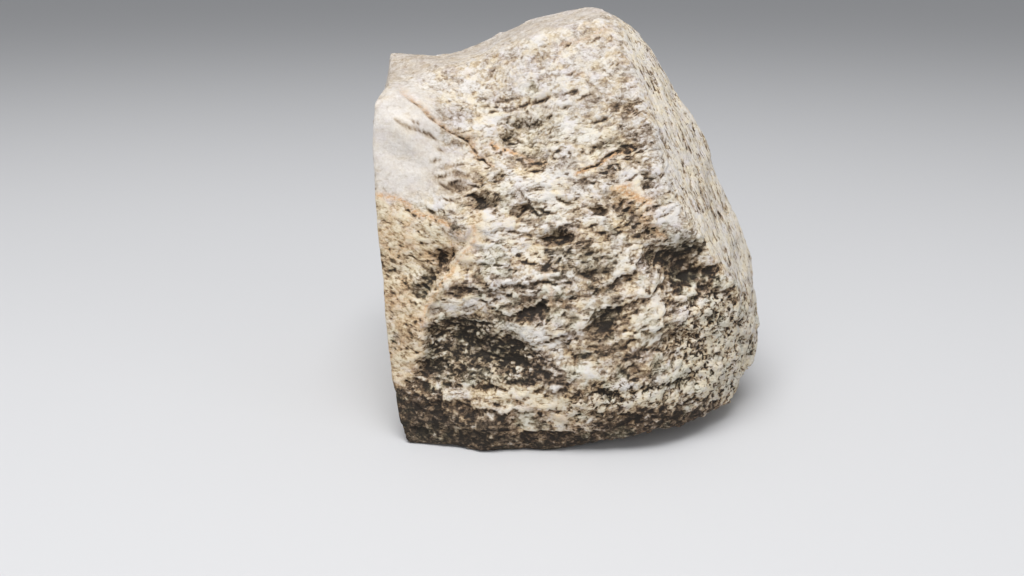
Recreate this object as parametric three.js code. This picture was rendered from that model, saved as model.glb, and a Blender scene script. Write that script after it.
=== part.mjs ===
// Weathered chondrite meteorite: one broken stone, about 52 mm tall.
// Millimetres, +Z up. The front of the stone faces -Y. The origin is on the rest plane,
// under the middle of the stone's bounding box.
//
// The stone is star-shaped about CENTRE. STATIONS are points on its skin. The directions to
// them are triangulated over the sphere, each triangle is taken as a flat break face, and an
// icosphere is projected onto those faces. Hollows and a slow waviness are then worked in, the
// break edges are worn a little, and the underside is levelled into the flat spot it rests on.

import * as THREE from 'three';
import { mergeVertices } from 'three/addons/utils/BufferGeometryUtils.js';
import { ConvexHull } from 'three/addons/math/ConvexHull.js';
import { ImprovedNoise } from 'three/addons/math/ImprovedNoise.js';

// ---- driving dimensions ---------------------------------------------------------------------
const SUBDIVISIONS = 15;            // icosphere detail: 20 * (15 + 1)^2 = 5120 faces
const CENTRE = [0, -1, 24];         // point that the whole skin can be seen from
const CRISP_EDGES = [               // runs of stations along the unworn break edges
  [15, 14, 13, 12, 11, 0, 1, 2, 3, 4, 5, 6, 7, 8, 9, 10],
  [10, 53, 52, 51, 50, 49, 48, 47, 46, 45, 44, 43, 42, 41, 40],
];
const CRISP_STEP = 1.0;             // mm, step along those edges
const CRISP_REACH = 0.036;           // rad, how far a skin vertex may slide to meet one
const EDGE_WEAR_PASSES = 1;         // smoothing passes over the other break edges
const EDGE_WEAR = 0.25;             // share of the neighbours' mean taken at each pass
const WAVE_LENGTH = 7.5;            // mm, slow unevenness of the break faces
const WAVE_HEIGHT = 0.35;           // mm
const REST_Z = 0;                   // mm, level of the flat rest spot
const STONE_COLOUR = 0x9a8c7c;      // tan grey
const STONE_ROUGHNESS = 0.72;

// Points on the skin, mm.
const STATIONS = [
  // front-left edge, knob to base corner
  [-25.0, -10.0, 40.9], [-25.1, -11.0, 38.2], [-25.2, -11.5, 35.4], [-24.9, -13.0, 29.2],
  [-24.6, -14.0, 24.3], [-24.2, -15.0, 20.4], [-23.8, -16.0, 14.0], [-23.3, -16.8, 8.4],
  [-22.8, -17.2, 5.3], [-22.1, -18.0, 1.8], [-21.6, -18.4, 0.2],
  // knob back to the spike at the left end of the top
  [-24.7, -8.5, 41.3], [-24.2, -6.5, 42.0], [-24.0, -4.0, 42.2], [-24.5, 2.0, 43.4], [-24.8, 6.0, 45.3],
  // crest of the top, spike to peak
  [-23.5, 7.0, 44.5], [-19.1, 8.0, 44.5], [-15.9, 8.0, 45.0], [-12.7, 8.0, 46.1], [-10.2, 7.5, 47.7],
  [-7.5, 7.0, 48.9], [-4.6, 6.5, 50.1], [-1.5, 5.5, 51.1], [1.5, 3.5, 51.5], [3.2, 2.5, 51.2], [5.0, 2.0, 50.0],
  // right shoulder, peak to the right foot and along the front underside
  [7.2, 2.0, 48.6], [9.9, 1.0, 46.1], [11.4, 0.5, 43.8], [12.8, 0.0, 40.9], [14.9, -0.5, 37.6],
  [16.8, -1.0, 34.8], [18.4, -1.5, 30.2], [20.3, -2.0, 26.6], [22.5, -2.5, 21.8], [23.9, -3.0, 17.8],
  [24.7, -4.0, 11.8], [24.9, -4.5, 9.7], [24.0, -6.0, 6.0], [22.3, -8.0, 4.6], [21.4, -10.0, 2.5],
  [19.5, -12.2, 1.8], [16.1, -15.5, 2.3], [12.4, -18.4, 1.9], [9.2, -19.8, 2.1], [6.0, -20.4, 1.7], [2.3, -20.6, 1.4],
  // front edge of the base
  [-0.8, -20.6, 0.7], [-4.4, -20.3, 0.1], [-9.4, -20.2, 0.0], [-12.6, -20.8, 0.0], [-15.8, -20.0, 0.1], [-18.6, -19.2, 0.2],
  // groove in front of the crest
  [-22.8, -4.5, 42.4], [-18.6, -2.0, 43.7], [-15.0, -1.0, 44.5], [-12.0, -0.5, 45.6], [-6.3, -1.5, 47.8],
  [-0.7, -2.0, 49.5], [2.3, -2.0, 50.2],
  // smooth upper left facet
  [-21.7, -9.0, 41.9], [-20.1, -9.4, 41.0], [-22.4, -11.5, 38.9], [-18.1, -10.0, 38.8], [-15.8, -9.4, 37.4],
  [-23.3, -12.4, 33.8], [-18.3, -12.4, 33.2], [-13.6, -11.6, 32.1], [-22.2, -13.3, 30.1], [-16.2, -14.3, 27.6],
  // shallow bowl in the upper front
  [-16.3, -4.5, 41.4], [-11.3, -3.5, 42.3], [-5.1, -4.5, 43.6], [1.0, -5.8, 45.2], [-12.8, -5.8, 39.1],
  [-7.5, -6.4, 36.8], [-13.6, -9.6, 35.1], [-2.1, -8.2, 38.8], [2.4, -10.0, 38.2], [-4.0, -12.4, 32.0],
  [-9.4, -12.2, 31.2], [2.5, -13.2, 32.0],
  // ridge between the front and the right face
  [5.2, -1.4, 49.2], [5.7, -6.6, 45.1], [6.9, -9.1, 41.5], [8.1, -11.2, 38.0], [10.0, -13.7, 31.5],
  [13.0, -14.8, 26.3], [16.2, -14.4, 22.4], [19.5, -13.0, 18.1],
  // right face
  [8.9, -3.6, 43.5], [12.3, -6.4, 37.2], [14.9, -8.2, 30.3], [18.7, -8.6, 23.5], [21.9, -8.0, 16.7],
  // middle of the front
  [-12.1, -15.6, 26.9], [-5.8, -15.8, 26.1], [0.7, -16.0, 27.1], [6.6, -16.2, 26.6], [11.8, -14.6, 22.5],
  [-16.6, -14.8, 22.5], [-9.9, -17.8, 21.2], [-2.9, -18.6, 20.5], [4.2, -18.8, 20.3], [9.2, -18.8, 17.8], [14.9, -16.6, 16.8],
  // lower left facet
  [-20.7, -15.0, 24.0], [-21.6, -16.2, 16.8], [-21.8, -16.9, 10.6], [-17.4, -16.6, 20.1], [-19.2, -17.2, 16.1], [-19.9, -17.5, 12.1],
  // lower front
  [-15.4, -17.2, 14.0], [-11.1, -18.1, 12.6], [-6.4, -19.7, 14.8], [0.7, -21.2, 10.5], [6.7, -20.6, 12.2],
  [13.0, -18.4, 11.0], [19.7, -13.0, 11.1],
  // swelling band above the base
  [-19.2, -18.1, 6.8], [-13.6, -19.6, 6.7], [-7.5, -21.1, 6.7], [-2.5, -21.8, 5.6], [3.2, -21.9, 6.3],
  [8.6, -21.2, 7.0], [15.1, -17.8, 6.2],
  // strip along the base
  [-19.8, -18.5, 2.6], [-13.6, -20.1, 2.7], [-6.3, -20.9, 2.6],
  // straight left face
  [-25.3, -2.0, 40.0], [-25.1, -2.0, 30.0], [-23.9, -3.0, 16.0], [-22.3, -5.0, 4.0],
  [-26.1, 9.0, 38.0], [-25.8, 10.0, 28.0], [-24.5, 9.0, 14.0], [-22.1, 7.0, 3.0],
  // top, behind the crest
  [-17.5, 15.0, 43.2], [-5.5, 17.0, 46.6], [5.0, 14.0, 47.6], [12.5, 9.0, 39.4],
  // back
  [-24.5, 18.0, 35.0], [-10.5, 22.0, 37.0], [3.5, 22.0, 38.0], [13.5, 18.0, 35.0], [19.0, 9.5, 28.5],
  [-23.7, 19.0, 22.0], [-9.5, 24.0, 22.0], [5.5, 24.0, 24.0], [17.0, 19.5, 22.0], [23.0, 10.5, 19.0],
  [-21.5, 17.0, 8.0], [-7.5, 21.0, 7.0], [7.5, 21.0, 8.0], [18.0, 16.5, 8.0], [24.0, 7.5, 10.0],
  // rising underside on the right
  [22.5, -1.0, 4.5], [20.5, 7.0, 3.5], [15.5, 13.0, 2.2], [16.5, -9.0, 4.0], [10.5, -15.0, 3.0],
  // underside, just below the rest level so that it is levelled flat
  [-20.3, -16.0, -0.8], [-12.5, -17.0, -0.8], [-4.5, -16.5, -0.8], [2.5, -13.0, -0.8], [9.5, -8.0, -0.8],
  [12.5, -1.0, -0.8], [11.5, 7.0, -0.8], [3.5, 13.0, -0.8], [-7.5, 14.5, -0.8], [-16.5, 12.0, -0.8],
  [-20.0, 3.0, -0.8], [-20.5, -7.0, -0.8],
  [-12.5, -9.0, -1.5], [-3.5, -8.0, -1.5], [3.5, -3.0, -1.5], [-3.5, 2.0, -1.5], [-12.5, 2.0, -1.5],
  [4.5, 6.0, -1.5], [-5.5, 9.0, -1.5],
];

// Hollows: centre x, y, z, radius and depth, mm.
const HOLLOWS = [
  [11.8, -14.6, 22.5, 3.2, 1.3],    // right of the middle, under the ridge
  [-17.1, -15.0, 22.5, 2.0, 1.2],   // hole between the two left facets
  [-3.4, -15.7, 25.9, 2.2, 1.0],    // eye-shaped hollow in the middle
  [-14.1, -17.5, 13.2, 3.6, 1.0],   // wide hollow, lower left
  [-6.6, -18.6, 18.1, 2.0, 0.7],
  [2.5, -19.4, 16.5, 2.2, 0.8],
  [-11.9, -13.0, 29.7, 1.8, 0.8],   // row of undercut shelves below the bowl
  [-7.6, -14.0, 28.6, 1.8, 0.7],
  [1.9, -14.6, 28.9, 2.0, 0.8],
  [-9.0, -6.7, 36.0, 2.4, 0.9],     // bottom of the bowl
  [2.0, -11.6, 34.3, 2.2, 0.6],
  [0.8, -21.6, 7.7, 2.2, 0.6],
  [-26.0, 2.0, 22.0, 5.0, 0.5],     // left face
  [-8.0, 24.0, 30.0, 5.5, 1.2],     // back
  [8.0, 24.0, 15.0, 5.0, 1.1],
  [-18.0, 19.5, 14.0, 4.5, 0.9],
  [21.0, 12.0, 14.0, 4.0, 0.8],
];

// ---- break faces ----------------------------------------------------------------------------
const centre = new THREE.Vector3(...CENTRE);
const rays = STATIONS.map((s, i) => {
  const ray = new THREE.Vector3(...s).sub(centre).normalize();
  ray.station = i;
  return ray;
});
const hull = new ConvexHull().setFromPoints(rays);
const facets = hull.faces.map((face) => {
  const corners = [];
  let edge = face.edge;
  do {
    corners.push(edge.head().point);
    edge = edge.next;
  } while (edge !== face.edge);
  const [a, b, c] = corners;
  // planes through the centre and each side of the facet
  const sides = [[a, b], [b, c], [c, a]].map(([p, q]) => new THREE.Vector3().crossVectors(p, q));
  const at = corners.map((p) => new THREE.Vector3(...STATIONS[p.station]).sub(centre));
  const normal = new THREE.Vector3().crossVectors(at[1].clone().sub(at[0]), at[2].clone().sub(at[0]));
  return { sides, normal, offset: normal.dot(at[0]) };
});

function skinRadius(ray) {
  let best = null;
  let bestInside = -Infinity;
  for (const facet of facets) {
    const inside = Math.min(...facet.sides.map((s) => s.dot(ray)));
    if (inside > bestInside) {
      bestInside = inside;
      best = facet;
    }
  }
  return best.offset / best.normal.dot(ray);
}

// ---- icosphere projected onto the skin --------------------------------------------------------
const ball = new THREE.IcosahedronGeometry(1, SUBDIVISIONS);
ball.deleteAttribute('normal');
ball.deleteAttribute('uv');
const geometry = mergeVertices(ball, 1e-5);
const position = geometry.attributes.position;
const count = position.count;
const directions = [];
for (let i = 0; i < count; i++) {
  directions.push(new THREE.Vector3().fromBufferAttribute(position, i).normalize());
}

// slide the nearest free vertex to each step along the crisp edges
const crisp = new Set();
for (const run of CRISP_EDGES) {
  for (let k = 0; k + 1 < run.length; k++) {
    const from = new THREE.Vector3(...STATIONS[run[k]]);
    const to = new THREE.Vector3(...STATIONS[run[k + 1]]);
    const steps = Math.ceil(from.distanceTo(to) / CRISP_STEP);
    for (let j = 0; j <= steps; j++) {
      const ray = from.clone().lerp(to, j / steps).sub(centre).normalize();
      let nearest = -1;
      let nearestAngle = CRISP_REACH;
      for (let i = 0; i < count; i++) {
        const angle = directions[i].angleTo(ray);
        if (angle < nearestAngle) {
          nearestAngle = angle;
          nearest = i;
        }
      }
      if (nearest >= 0 && !crisp.has(nearest)) {
        directions[nearest].copy(ray);
        crisp.add(nearest);
      }
    }
  }
}
const radii = Float64Array.from(directions, skinRadius);

// neighbours, for edge wear
const neighbours = Array.from({ length: count }, () => new Set());
const index = geometry.index.array;
for (let t = 0; t < index.length; t += 3) {
  for (let k = 0; k < 3; k++) {
    neighbours[index[t + k]].add(index[t + (k + 1) % 3]).add(index[t + (k + 2) % 3]);
  }
}
for (let pass = 0; pass < EDGE_WEAR_PASSES; pass++) {
  const before = Float64Array.from(radii);
  for (let i = 0; i < count; i++) {
    if (crisp.has(i)) continue;
    let sum = 0;
    for (const j of neighbours[i]) sum += before[j];
    radii[i] = before[i] + EDGE_WEAR * (sum / neighbours[i].size - before[i]);
  }
}

// waviness, hollows and the flat rest spot
const noise = new ImprovedNoise();
const point = new THREE.Vector3();
const hollowAt = new THREE.Vector3();
for (let i = 0; i < count; i++) {
  point.copy(directions[i]).multiplyScalar(radii[i]).add(centre);
  const wave = noise.noise(point.x / WAVE_LENGTH + 31.7, point.y / WAVE_LENGTH + 11.3, point.z / WAVE_LENGTH + 5.9);
  let radius = radii[i] + WAVE_HEIGHT * wave;
  for (const [x, y, z, reach, depth] of HOLLOWS) {
    const d = point.distanceTo(hollowAt.set(x, y, z)) / reach;
    if (d < 3) radius -= depth * Math.exp(-d * d);
  }
  point.copy(directions[i]).multiplyScalar(radius).add(centre);
  position.setXYZ(i, point.x, point.y, Math.max(point.z, REST_Z));
}

// origin under the middle of the bounding box, on the rest plane
geometry.computeBoundingBox();
const box = geometry.boundingBox;
geometry.translate(-(box.min.x + box.max.x) / 2, -(box.min.y + box.max.y) / 2, -box.min.z);
geometry.computeVertexNormals();

const stone = new THREE.Mesh(
  geometry,
  new THREE.MeshStandardMaterial({ color: STONE_COLOUR, roughness: STONE_ROUGHNESS, metalness: 0 }),
);
stone.name = 'meteorite';

const model = new THREE.Group();
model.add(stone);
export default model;
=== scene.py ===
"""Weathered chondrite meteorite: the finished surface of the stone, a pale floor, soft light and a camera."""

import math

import bmesh
import bpy
import numpy as np
from mathutils import Matrix, Vector
from mathutils.bvhtree import BVHTree


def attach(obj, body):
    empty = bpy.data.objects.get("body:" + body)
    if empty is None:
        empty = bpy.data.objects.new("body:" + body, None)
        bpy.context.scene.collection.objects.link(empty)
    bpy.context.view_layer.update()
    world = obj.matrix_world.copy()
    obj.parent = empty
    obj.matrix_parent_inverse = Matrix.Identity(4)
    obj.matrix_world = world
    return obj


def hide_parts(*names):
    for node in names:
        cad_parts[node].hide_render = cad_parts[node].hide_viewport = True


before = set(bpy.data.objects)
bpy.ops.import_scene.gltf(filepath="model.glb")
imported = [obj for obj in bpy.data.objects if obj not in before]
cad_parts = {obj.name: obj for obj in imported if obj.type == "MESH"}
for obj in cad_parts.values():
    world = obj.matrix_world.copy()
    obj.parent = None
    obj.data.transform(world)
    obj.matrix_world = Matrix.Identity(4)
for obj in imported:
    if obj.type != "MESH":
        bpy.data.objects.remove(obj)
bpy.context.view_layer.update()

MM = 0.001
rng = np.random.default_rng(20331)

# ------------------------------------------------------------------------------------------------
# Frame: the stations below are in the stone's survey frame. SHIFT takes them to the row frame.
# ------------------------------------------------------------------------------------------------
SHIFT = np.array([-0.7242, 1.1999, 0.0])
CENTRE = np.array([0.0, -1.0, 24.0]) - SHIFT

# Viewpoint of the photograph, in mm in the row frame, and its axes. Focal length in pixels of a
# 1024 x 576 image.
EYE = np.array([-8.5, -129.0, 57.29]) - SHIFT
FORWARD = np.array([0.0, 0.94856, -0.31660])
UPWARD = np.array([-0.00202, 0.31660, 0.94856])
RIGHT = np.array([1.0, 0.00064, 0.00192])
FOCAL = 989.665

STATIONS = np.array([
    # front-left edge, knob to base corner
    [-25.0, -10.0, 40.9], [-25.1, -11.0, 38.2], [-25.2, -11.5, 35.4], [-24.9, -13.0, 29.2],
    [-24.6, -14.0, 24.3], [-24.2, -15.0, 20.4], [-23.8, -16.0, 14.0], [-23.3, -16.8, 8.4],
    [-22.8, -17.2, 5.3], [-22.1, -18.0, 1.8], [-21.6, -18.4, 0.2],
    # knob back to the spike at the left end of the top
    [-24.7, -8.5, 41.3], [-24.2, -6.5, 42.0], [-24.0, -4.0, 42.2], [-24.5, 2.0, 43.4], [-24.8, 6.0, 45.3],
    # crest of the top, spike to peak
    [-23.5, 7.0, 44.5], [-19.1, 8.0, 44.5], [-15.9, 8.0, 45.0], [-12.7, 8.0, 46.1], [-10.2, 7.5, 47.7],
    [-7.5, 7.0, 48.9], [-4.6, 6.5, 50.1], [-1.5, 5.5, 51.1], [1.5, 3.5, 51.5], [3.2, 2.5, 51.2], [5.0, 2.0, 50.0],
    # right shoulder, peak to the right foot and along the front underside
    [7.2, 2.0, 48.6], [9.9, 1.0, 46.1], [11.4, 0.5, 43.8], [12.8, 0.0, 40.9], [14.9, -0.5, 37.6],
    [16.8, -1.0, 34.8], [18.4, -1.5, 30.2], [20.3, -2.0, 26.6], [22.5, -2.5, 21.8], [23.9, -3.0, 17.8],
    [24.7, -4.0, 11.8], [24.9, -4.5, 9.7], [24.0, -6.0, 6.0], [22.3, -8.0, 4.6], [21.4, -10.0, 2.5],
    [19.5, -12.2, 1.8], [16.1, -15.5, 2.3], [12.4, -18.4, 1.9], [9.2, -19.8, 2.1], [6.0, -20.4, 1.7], [2.3, -20.6, 1.4],
    # front edge of the base
    [-0.8, -20.6, 0.7], [-4.4, -20.3, 0.1], [-9.4, -20.2, 0.0], [-12.6, -20.8, 0.0], [-15.8, -20.0, 0.1], [-18.6, -19.2, 0.2],
    # groove in front of the crest
    [-22.8, -4.5, 42.4], [-18.6, -2.0, 43.7], [-15.0, -1.0, 44.5], [-12.0, -0.5, 45.6], [-6.3, -1.5, 47.8],
    [-0.7, -2.0, 49.5], [2.3, -2.0, 50.2],
    # smooth upper left facet
    [-21.7, -9.0, 41.9], [-20.1, -9.4, 41.0], [-22.4, -11.5, 38.9], [-18.1, -10.0, 38.8], [-15.8, -9.4, 37.4],
    [-23.3, -12.4, 33.8], [-18.3, -12.4, 33.2], [-13.6, -11.6, 32.1], [-22.2, -13.3, 30.1], [-16.2, -14.3, 27.6],
    # shallow bowl in the upper front
    [-16.3, -4.5, 41.4], [-11.3, -3.5, 42.3], [-5.1, -4.5, 43.6], [1.0, -5.8, 45.2], [-12.8, -5.8, 39.1],
    [-7.5, -6.4, 36.8], [-13.6, -9.6, 35.1], [-2.1, -8.2, 38.8], [2.4, -10.0, 38.2], [-4.0, -12.4, 32.0],
    [-9.4, -12.2, 31.2], [2.5, -13.2, 32.0],
    # ridge between the front and the right face
    [5.2, -1.4, 49.2], [5.7, -6.6, 45.1], [6.9, -9.1, 41.5], [8.1, -11.2, 38.0], [10.0, -13.7, 31.5],
    [13.0, -14.8, 26.3], [16.2, -14.4, 22.4], [19.5, -13.0, 18.1],
    # right face
    [8.9, -3.6, 43.5], [12.3, -6.4, 37.2], [14.9, -8.2, 30.3], [18.7, -8.6, 23.5], [21.9, -8.0, 16.7],
    # middle of the front
    [-12.1, -15.6, 26.9], [-5.8, -15.8, 26.1], [0.7, -16.0, 27.1], [6.6, -16.2, 26.6], [11.8, -14.6, 22.5],
    [-16.6, -14.8, 22.5], [-9.9, -17.8, 21.2], [-2.9, -18.6, 20.5], [4.2, -18.8, 20.3], [9.2, -18.8, 17.8], [14.9, -16.6, 16.8],
    # lower left facet
    [-20.7, -15.0, 24.0], [-21.6, -16.2, 16.8], [-21.8, -16.9, 10.6], [-17.4, -16.6, 20.1], [-19.2, -17.2, 16.1], [-19.9, -17.5, 12.1],
    # lower front
    [-15.4, -17.2, 14.0], [-11.1, -18.1, 12.6], [-6.4, -19.7, 14.8], [0.7, -21.2, 10.5], [6.7, -20.6, 12.2],
    [13.0, -18.4, 11.0], [19.7, -13.0, 11.1],
    # swelling band above the base
    [-19.2, -18.1, 6.8], [-13.6, -19.6, 6.7], [-7.5, -21.1, 6.7], [-2.5, -21.8, 5.6], [3.2, -21.9, 6.3],
    [8.6, -21.2, 7.0], [15.1, -17.8, 6.2],
    # strip along the base
    [-19.8, -18.5, 2.6], [-13.6, -20.1, 2.7], [-6.3, -20.9, 2.6],
    # straight left face
    [-25.3, -2.0, 40.0], [-25.1, -2.0, 30.0], [-23.9, -3.0, 16.0], [-22.3, -5.0, 4.0],
    [-26.1, 9.0, 38.0], [-25.8, 10.0, 28.0], [-24.5, 9.0, 14.0], [-22.1, 7.0, 3.0],
    # top, behind the crest
    [-17.5, 15.0, 43.2], [-5.5, 17.0, 46.6], [5.0, 14.0, 47.6], [12.5, 9.0, 39.4],
    # back
    [-24.5, 18.0, 35.0], [-10.5, 22.0, 37.0], [3.5, 22.0, 38.0], [13.5, 18.0, 35.0], [19.0, 9.5, 28.5],
    [-23.7, 19.0, 22.0], [-9.5, 24.0, 22.0], [5.5, 24.0, 24.0], [17.0, 19.5, 22.0], [23.0, 10.5, 19.0],
    [-21.5, 17.0, 8.0], [-7.5, 21.0, 7.0], [7.5, 21.0, 8.0], [18.0, 16.5, 8.0], [24.0, 7.5, 10.0],
    # rising underside on the right
    [22.5, -1.0, 4.5], [20.5, 7.0, 3.5], [15.5, 13.0, 2.2], [16.5, -9.0, 4.0], [10.5, -15.0, 3.0],
    # underside
    [-20.3, -16.0, -0.8], [-12.5, -17.0, -0.8], [-4.5, -16.5, -0.8], [2.5, -13.0, -0.8], [9.5, -8.0, -0.8],
    [12.5, -1.0, -0.8], [11.5, 7.0, -0.8], [3.5, 13.0, -0.8], [-7.5, 14.5, -0.8], [-16.5, 12.0, -0.8],
    [-20.0, 3.0, -0.8], [-20.5, -7.0, -0.8],
    [-12.5, -9.0, -1.5], [-3.5, -8.0, -1.5], [3.5, -3.0, -1.5], [-3.5, 2.0, -1.5], [-12.5, 2.0, -1.5],
    [4.5, 6.0, -1.5], [-5.5, 9.0, -1.5],
]) - SHIFT


# ------------------------------------------------------------------------------------------------
# Small numeric tools
# ------------------------------------------------------------------------------------------------
def smooth(a, b, x):
    t = np.clip((x - a) / (b - a), 0.0, 1.0)
    return t * t * (3.0 - 2.0 * t)


def unit(v):
    return v / np.maximum(np.linalg.norm(v, axis=-1, keepdims=True), 1e-12)


TABLE = rng.random((65536, 6))
SLOPES = unit(rng.normal(size=(65536, 3)))


def lattice_index(i, j, k, seed):
    """Row of the random tables for each lattice point."""
    return ((i * 73856093) ^ (j * 19349663) ^ (k * 83492791) ^ (seed * 7919131)) % 65521


def noise(p, seed=0):
    """Gradient noise, about -1..1, of points given in cells."""
    cell = np.floor(p).astype(np.int64)
    f = p - cell
    w = f * f * f * (f * (f * 6 - 15) + 10)
    out = np.zeros(len(p))
    for dx in (0, 1):
        wx = w[:, 0] if dx else 1 - w[:, 0]
        for dy in (0, 1):
            wy = wx * (w[:, 1] if dy else 1 - w[:, 1])
            for dz in (0, 1):
                slope = SLOPES[lattice_index(cell[:, 0] + dx, cell[:, 1] + dy, cell[:, 2] + dz, seed)]
                out += ((f[:, 0] - dx) * slope[:, 0] + (f[:, 1] - dy) * slope[:, 1] + (f[:, 2] - dz) * slope[:, 2]) * wy * (w[:, 2] if dz else 1 - w[:, 2])
    return out * 1.6


def fbm(p, octaves, seed=0, gain=0.5):
    out = np.zeros(len(p))
    amp = 1.0
    for o in range(octaves):
        out += amp * noise(p * 2.0 ** o + 17.3 * o, seed + 11 * o)
        amp *= gain
    return out


def cells(p, seed=0, jitter=0.9):
    """Nearest and second nearest distances, offset from the cell's seed, and the cell's random numbers."""
    cell = np.floor(p).astype(np.int64)
    n = len(p)
    f1 = np.full(n, 9.0)
    f2 = np.full(n, 9.0)
    off = np.zeros((n, 3))
    row = np.zeros(n, np.int64)
    for dx in (-1, 0, 1):
        for dy in (-1, 0, 1):
            for dz in (-1, 0, 1):
                q = cell + np.array([dx, dy, dz])
                at = lattice_index(q[:, 0], q[:, 1], q[:, 2], seed)
                d = p - (q + 0.5 + (TABLE[at, :3] - 0.5) * jitter)
                dist = np.sqrt(np.einsum("ij,ij->i", d, d))
                near = dist < f1
                f2 = np.where(near, f1, np.minimum(f2, dist))
                f1 = np.where(near, dist, f1)
                off[near] = d[near]
                row[near] = at[near]
    return f1, f2, off, TABLE[row, 3:]


# ------------------------------------------------------------------------------------------------
# Sphere grid and the break faces between the stations
# ------------------------------------------------------------------------------------------------
N = 128
g = np.arange(N + 1)
A, B = np.meshgrid(g, g, indexing="ij")
Z0, ZN = np.zeros_like(A), np.full_like(A, N)
# each face's lattice, ordered so that its quads point outwards
face_grids = [(ZN, A, B), (Z0, B, A), (B, ZN, A), (A, Z0, B), (A, B, ZN), (B, A, Z0)]
lattice = [np.stack(f, -1).reshape(-1, 3) for f in face_grids]
keys = np.concatenate(lattice)
code = (keys[:, 0] * (N + 1) + keys[:, 1]) * (N + 1) + keys[:, 2]
codes, first, inverse = np.unique(code, return_index=True, return_inverse=True)
corner = keys[first] / N * 2.0 - 1.0
directions = unit(np.tan(corner * 0.55))
quads, quad_uv = [], []
for fi in range(6):
    ids = inverse[fi * (N + 1) ** 2:(fi + 1) * (N + 1) ** 2].reshape(N + 1, N + 1)
    q = np.stack([ids[:-1, :-1], ids[1:, :-1], ids[1:, 1:], ids[:-1, 1:]], -1).reshape(-1, 4)
    quads.append(q)
    ga, gb = np.meshgrid(np.arange(N), np.arange(N), indexing="ij")
    ga, gb = ga.reshape(-1), gb.reshape(-1)
    uv = np.stack([np.stack([ga, gb], -1), np.stack([ga + 1, gb], -1), np.stack([ga + 1, gb + 1], -1), np.stack([ga, gb + 1], -1)], 1) / N
    col, row = fi % 3, fi // 3
    uv = uv * 0.98 + 0.01
    uv[..., 0] = (uv[..., 0] + col) / 3
    uv[..., 1] = (uv[..., 1] + row) / 2
    quad_uv.append(uv)
quads = np.concatenate(quads)
quad_uv = np.concatenate(quad_uv)
VN = len(directions)
edges = np.unique(np.sort(np.concatenate([quads[:, [0, 1]], quads[:, [1, 2]], quads[:, [2, 3]], quads[:, [3, 0]]]), axis=1), axis=0)
degree = np.bincount(edges.ravel(), minlength=VN).astype(float)


def mean_of_neighbours(x):
    if x.ndim == 1:
        return (np.bincount(edges[:, 0], x[edges[:, 1]], VN) + np.bincount(edges[:, 1], x[edges[:, 0]], VN)) / degree
    return np.stack([mean_of_neighbours(x[:, c]) for c in range(x.shape[1])], 1)


def blur(x, passes, share=0.5):
    for _ in range(passes):
        x = x + share * (mean_of_neighbours(x) - x)
    return x


def normals_of(p):
    a, b = p[quads[:, 2]] - p[quads[:, 0]], p[quads[:, 3]] - p[quads[:, 1]]
    fn = np.cross(a, b)
    out = np.zeros_like(p)
    for c in range(4):
        for k in range(3):
            out[:, k] += np.bincount(quads[:, c], fn[:, k], VN)
    return unit(out)


# the grid is drawn together on the worked front, where the finest detail lies
LEAN = unit(np.array([-0.05, -1.0, 0.12]))
GATHER = 1.38
HEART = np.array([-1.0, 5.0, 21.5])
lean = directions @ LEAN
w = (directions - lean[:, None] * LEAN) / np.maximum(1.0 + lean, 1e-9)[:, None] / GATHER
w2 = np.einsum("ij,ij->i", w, w)
directions = unit((2 * w + (1 - w2)[:, None] * LEAN) / (1 + w2)[:, None])

# triangulate the directions to the stations over the sphere
rays = unit(STATIONS - CENTRE)
bm = bmesh.new()
for r in rays:
    bm.verts.new(r)
bm.verts.ensure_lookup_table()
bm.verts.index_update()
bmesh.ops.convex_hull(bm, input=bm.verts[:])
bmesh.ops.triangulate(bm, faces=bm.faces[:])
bm.verts.index_update()
hull = np.array([[v.index for v in f.verts] for f in bm.faces])
bm.free()
skin = BVHTree.FromPolygons([tuple(x) for x in STATIONS], hull.tolist())


def on_skin(d):
    """Points of the break faces along the given directions from the grid's heart."""
    start = Vector(HEART)
    return np.array([skin.ray_cast(start, Vector(x))[0] for x in d])


base = on_skin(directions)
for step in range(3):
    base = base + 0.5 * (mean_of_neighbours(base) - base)
    base = on_skin(unit(base - HEART))

# worn break edges: more wear away from the straight left edge
left_edge = STATIONS[[15, 14, 13, 12, 11, 0, 1, 2, 3, 4, 5, 6, 7, 8, 9, 10]]


def chain_distance(pts, chain):
    best = np.full(len(pts), 1e9)
    for s, e in zip(chain[:-1], chain[1:]):
        ab = e - s
        t = np.clip(((pts - s) @ ab) / (ab @ ab), 0, 1)
        best = np.minimum(best, np.linalg.norm(pts - (s + t[:, None] * ab), axis=1))
    return best


crisp = 1.0 - smooth(0.5, 2.5, chain_distance(base, left_edge))
for step in range(10):
    base = base + (0.5 * (1 - 0.85 * crisp))[:, None] * (mean_of_neighbours(base) - base)

nrm = normals_of(base)
# slow unevenness of the break faces
base = base + nrm * (0.30 * noise(base / 8.0, 3) + 0.20 * noise(base / 4.2, 4))[:, None] * (1 - 0.7 * crisp)[:, None]
nrm = unit(blur(normals_of(base), 8))

# ------------------------------------------------------------------------------------------------
# Where each point of the front lies in the photograph, for placing what the photograph shows
# ------------------------------------------------------------------------------------------------
d = base - EYE
depth = d @ FORWARD
px = np.stack([512 + FOCAL * (d @ RIGHT) / depth, 288 - FOCAL * (d @ UPWARD) / depth], 1)
facing = -np.einsum("ij,ij->i", nrm, unit(d))
front = smooth(-0.12, 0.22, facing)
hidden = 1 - front
wob = np.stack([noise(base / 2.4, 21), noise(base / 2.4, 22)], 1) * 4.5 + np.stack([noise(base / 0.95, 23), noise(base / 0.95, 24)], 1) * 3.2
pw = px + wob
pn = px + 0.35 * wob


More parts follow.
